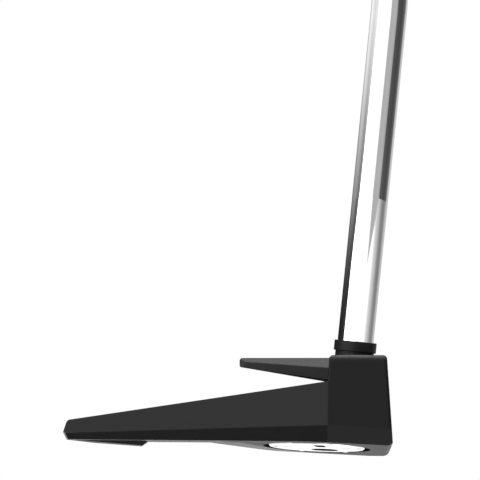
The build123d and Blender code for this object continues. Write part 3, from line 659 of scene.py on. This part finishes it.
def studio():
    """Soft studio surround as a function of direction; the camera sees plain white."""
    world = bpy.data.worlds.new("studio")
    bpy.context.scene.world = world
    world.use_nodes = True
    t = Tree(world.node_tree)
    x, y, z = t.xyz(t.place("Generated"))
    azimuth = t.times(t.math("ARCTAN2", x, t.times(y, -1.0)), DEGREES)
    elevation = t.times(t.math("ARCSINE", z), DEGREES)

    level = t.curve(azimuth, LEVEL_LIGHT)
    high = t.curve(azimuth, HIGH_LIGHT)
    over_arch = t.minus(elevation, t.curve(azimuth, ARCH))
    light = t.mix(t.smooth_ramp(over_arch, over=(-0.8, 1.2)), level, high)

    # below the horizon, starting higher behind the putter than round the rest
    behind = t.math("MAXIMUM", t.ramp(azimuth, over=(-138.0, -152.0)),
                    t.ramp(azimuth, over=(156.0, 170.0)))
    gain = t.mix(behind, 1.0, t.curve(elevation, BEHIND_GAIN))
    low = t.times(t.curve(azimuth, LOW_LIGHT), gain)
    down = t.smooth_ramp(elevation, over=(-4.0, -22.0))
    under = t.ramp(elevation, over=(0.6, -0.8))
    light = t.mix(t.math("MAXIMUM", down, t.times(behind, under)), light, low)

    # straight below, dark on the -X side so that metal shows its shape from underneath
    deep = t.smooth_ramp(elevation, over=(-42.0, -64.0))
    light = t.mix(deep, light, t.ramp(x, over=(-0.06, 0.26), to=(0.22, 2.5)))

    # overhead soft box, from straight above to behind
    tilt = t.times(t.math("ARCTAN2", z, t.times(y, 1.0)), DEGREES)
    box = t.times(t.smooth_ramp(tilt, over=(93.0, 71.0)),
                  t.smooth_ramp(elevation, over=(38.0, 56.0)))
    box_light = 5.0
    light = t.mix(box, light, box_light)

    seen_white = 1.0
    light = t.mix(t.node("LightPath").outputs["Is Camera Ray"], light, seen_white)
    grey = t.node("CombineColor")
    for socket in grey.inputs[:3]:
        t.put(socket, light)
    background = t.node("Background")
    t.put(background.inputs["Color"], grey.outputs[0])
    t.output(background.outputs[0], kind="OutputWorld")


studio()

# Card on an arc round the lower shaft; azimuth runs from the camera side towards -X
CARD_X, CARD_Y = -0.0, 0.016
CARD_RADIUS = 0.12
CARD_START, CARD_END = math.radians(181.0), math.radians(77.0)
CARD_FOOT, CARD_TOP = 0.012, 0.20
CARD_STEPS = 24
# glow by height in mm, on the left and behind
CARD_LEFT_GLOW = [
    (10, 0.01), (44, 0.02), (58, 0.035), (74, 0.055), (109, 0.10), (139, 0.26), (152, 0.43),
    (162, 0.62), (175, 0.8), (200, 1.0)]
CARD_BACK_GLOW = [
    (10, 0.01), (40, 0.015), (48, 0.03), (54, 0.05), (66, 0.10), (82, 0.24), (95, 0.40),
    (105, 0.55), (116, 0.75), (135, 1.0), (200, 1.1)]


def card_material():
    material, t = new_material("flag_left")
    x, y, z = t.xyz(t.place())
    height = t.times(z, 1000.0)
    azimuth = t.times(t.math("ARCTAN2", t.minus(CARD_X, x), t.minus(CARD_Y, y)), DEGREES)
    glow = t.mix(t.ramp(azimuth, over=(98.0, 140.0)),
                 t.curve(height, CARD_LEFT_GLOW), t.curve(height, CARD_BACK_GLOW))
    dimming = t.ramp(azimuth, over=(148.0, 172.0), to=(1.0, 0.4))
    emission = t.node("Emission")
    t.put(emission.inputs["Strength"], t.times(glow, dimming))
    # feathered at the end nearest the camera and at the foot
    solid = t.times(t.ramp(azimuth, over=(78.0, 84.0)), t.smooth_ramp(height, over=(12.0, 22.0)))
    t.output(t.mix_shader(solid, t.node("BsdfTransparent").outputs[0], emission.outputs[0]))
    return material


def flag_left():
    """Dark card behind and to the left of the lower shaft, growing lighter with height."""
    verts = []
    for i in range(CARD_STEPS + 1):
        azimuth = CARD_START + (CARD_END - CARD_START) * i / CARD_STEPS
        x = CARD_X - math.sin(azimuth) * CARD_RADIUS
        y = CARD_Y - math.cos(azimuth) * CARD_RADIUS
        verts += [(x, y, CARD_FOOT), (x, y, CARD_TOP)]
    faces = [(2 * i, 2 * i + 2, 2 * i + 3, 2 * i + 1) for i in range(CARD_STEPS)]
    card = mesh_object("flag_left", verts, faces)
    card.data.materials.append(card_material())
    # seen in reflections only
    for ray in ("camera", "diffuse", "shadow", "transmission", "volume_scatter"):
        setattr(card, "visible_" + ray, False)


flag_left()

FLOOR_RADII = [0.2, 0.5, 1.0, 1.6, 2.4]
FLOOR_POINTS = 96


def floor_material():
    material, t = new_material("studio_floor")
    place = t.place()
    diffuse = t.node("BsdfDiffuse")
    colour = t.mix_colour(t.noise(place, scale=9.0), (0.455, 0.455, 0.458), (0.475, 0.475, 0.477))
    t.put(diffuse.inputs["Color"], colour)
    t.put(diffuse.inputs["Roughness"], 0.6)
    # clear far out, and when seen edge on or from below
    near = t.smooth_ramp(t.vector_math("LENGTH", place), over=(0.7, 2.1), to=FALL)
    steepness = t.xyz(t.node("NewGeometry").outputs["Incoming"])[2]
    facing = t.smooth_ramp(steepness, over=(0.012, 0.07))
    t.output(t.mix_shader(t.times(near, facing), t.node("BsdfTransparent").outputs[0],
                          diffuse.outputs[0]))
    return material


def floor():
    """Pale round floor just under the sole, fading into the white surround."""
    n = FLOOR_POINTS
    verts = [(0, 0, 0)]
    for radius in FLOOR_RADII:
        for i in range(n):
            a = 2 * math.pi * i / n
            verts.append((radius * math.cos(a), radius * math.sin(a), 0.0))
    faces = [(0, 1 + i, 1 + (i + 1) % n) for i in range(n)]
    for k in range(len(FLOOR_RADII) - 1):
        for i in range(n):
            a, b = 1 + k * n + i, 1 + k * n + (i + 1) % n
            faces.append((a, a + n, b + n, b))
    disc = mesh_object("studio_floor", verts, faces)
    disc.location = (0.0, 0.1, -0.0004)
    disc.data.materials.append(floor_material())
    disc.visible_glossy = False
    disc.visible_diffuse = False
    disc.visible_shadow = False


floor()


def key_light():
    """Large soft disc high on the toe side and to the rear, to give the shadow a direction."""
    data = bpy.data.lights.new("soft_key", "AREA")
    data.shape = "DISK"
    data.size = 1.4
    data.energy = 16.0
    lamp = bpy.data.objects.new("soft_key", data)
    lamp.location = (-1.0, -1.4, 2.4)
    aim(lamp, Vector((-0.03, 0.0, 0.02)))
    bpy.context.scene.collection.objects.link(lamp)
    lamp.visible_camera = False
    lamp.visible_glossy = False


key_light()

# ------------------------------------------------------------------ camera
LENS, SENSOR = 1500.0, 36.0             # mm
VIEW_WIDTH = 123.07692 * MM             # width of the view at the near side of the head
NEAR_Y = -0.015                         # near side of the head
AIM_X, AIM_Z = -34.03846 * MM, 55.38462 * MM
CAMERA_Z = 0.0017


def camera():
    """Very long lens just above the ground, looking from the toe side along +Y."""
    data = bpy.data.cameras.new("camera")
    data.lens = LENS
    data.sensor_width = SENSOR
    data.clip_start = 0.05
    data.clip_end = 200.0
    piece = bpy.data.objects.new("camera", data)
    bpy.context.scene.collection.objects.link(piece)
    piece.location = (AIM_X, NEAR_Y - VIEW_WIDTH * LENS / SENSOR, CAMERA_Z)
    aim(piece, Vector((AIM_X, NEAR_Y, AIM_Z)))
    bpy.context.scene.camera = piece


camera()

view = bpy.context.scene.view_settings
view.view_transform = "Standard"
view.look = "None"
view.exposure = 0.0
view.gamma = 1.0
